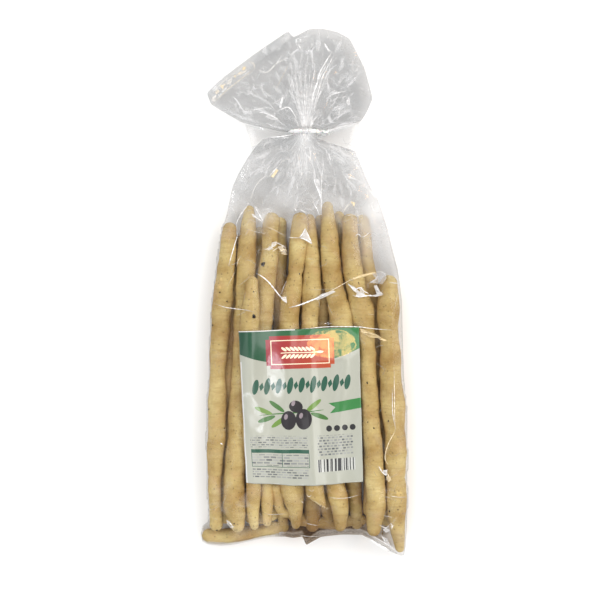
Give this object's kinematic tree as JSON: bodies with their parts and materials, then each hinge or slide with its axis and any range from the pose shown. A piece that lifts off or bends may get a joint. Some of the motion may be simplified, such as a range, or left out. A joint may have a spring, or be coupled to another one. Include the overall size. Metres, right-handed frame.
{
  "type": "bag of breadsticks",
  "caption": "Clear film bag of hand-rolled breadsticks with a paper label, its neck tied and its gathered top spread in a fan, lying on its back.",
  "frame": {"origin": "on the ground, below the middle of the pack's outline", "axes": "+X to the label's right, +Y towards the tied neck, +Z out of the label's face"},
  "size_m": [0.1618, 0.4225, 0.037],
  "materials": {
    "bread": "matte baked crust, pale tan",
    "film": "clear glossy polypropylene film",
    "label_paper": "coated paper with printed fields of colour",
    "tie": "white plastic band"
  },
  "bodies": {
    "root": {"bag": "bread", "label": "label_paper", "neck_tie": "tie"}
  },
  "joints": []
}
